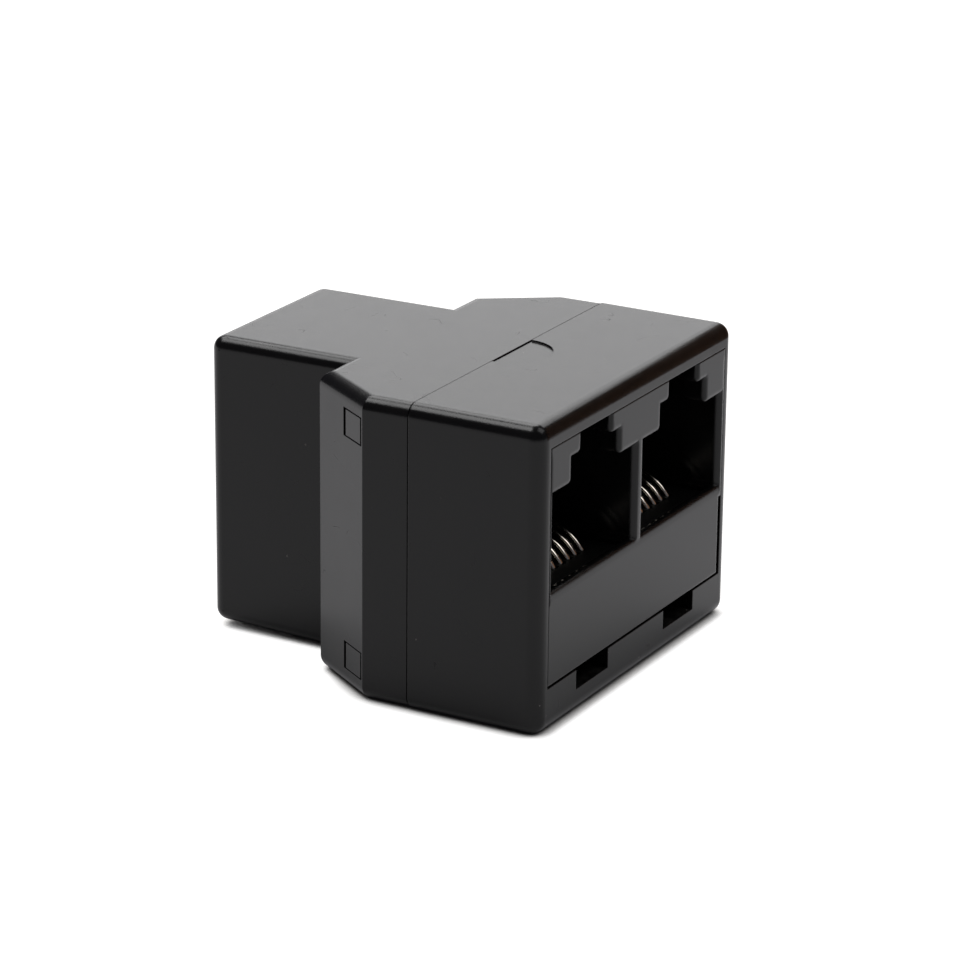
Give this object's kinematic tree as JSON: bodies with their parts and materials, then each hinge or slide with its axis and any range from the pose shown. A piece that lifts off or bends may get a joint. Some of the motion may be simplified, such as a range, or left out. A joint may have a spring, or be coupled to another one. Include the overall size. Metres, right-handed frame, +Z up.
{
  "type": "ethernet splitter adapter",
  "caption": "Small black two-shell network splitter with side-by-side modular jacks on the wide front face and a jack in the narrower rear neck.",
  "frame": {"origin": "middle of the bounding box on the base plane", "axes": "+Z up, -Y out of the wide twin-jack face, +Y out of the rear jack, X along the twin-jack face"},
  "size_m": [0.0282, 0.03, 0.0217],
  "materials": {
    "shell_plastic": "satin black moulded plastic",
    "jack_plastic": "satin black moulded plastic",
    "carrier_plastic": "plain black moulded plastic",
    "contact_metal": "gold-plated spring bronze",
    "board_laminate": "green circuit laminate"
  },
  "bodies": {
    "root": {"front_shell": "shell_plastic", "rear_shell": "shell_plastic", "twin_jack_housing": "jack_plastic", "single_jack_housing": "jack_plastic", "left_contact_carrier": "carrier_plastic", "right_contact_carrier": "carrier_plastic", "rear_contact_carrier": "carrier_plastic", "circuit_board": "board_laminate", "left_contact_1": "contact_metal", "left_contact_2": "contact_metal", "left_contact_3": "contact_metal", "left_contact_4": "contact_metal", "left_contact_5": "contact_metal", "left_contact_6": "contact_metal", "left_contact_7": "contact_metal", "left_contact_8": "contact_metal", "right_contact_1": "contact_metal", "right_contact_2": "contact_metal", "right_contact_3": "contact_metal", "right_contact_4": "contact_metal", "right_contact_5": "contact_metal", "right_contact_6": "contact_metal", "right_contact_7": "contact_metal", "right_contact_8": "contact_metal", "rear_contact_1": "contact_metal", "rear_contact_2": "contact_metal", "rear_contact_3": "contact_metal", "rear_contact_4": "contact_metal", "rear_contact_5": "contact_metal", "rear_contact_6": "contact_metal", "rear_contact_7": "contact_metal", "rear_contact_8": "contact_metal"}
  },
  "joints": []
}
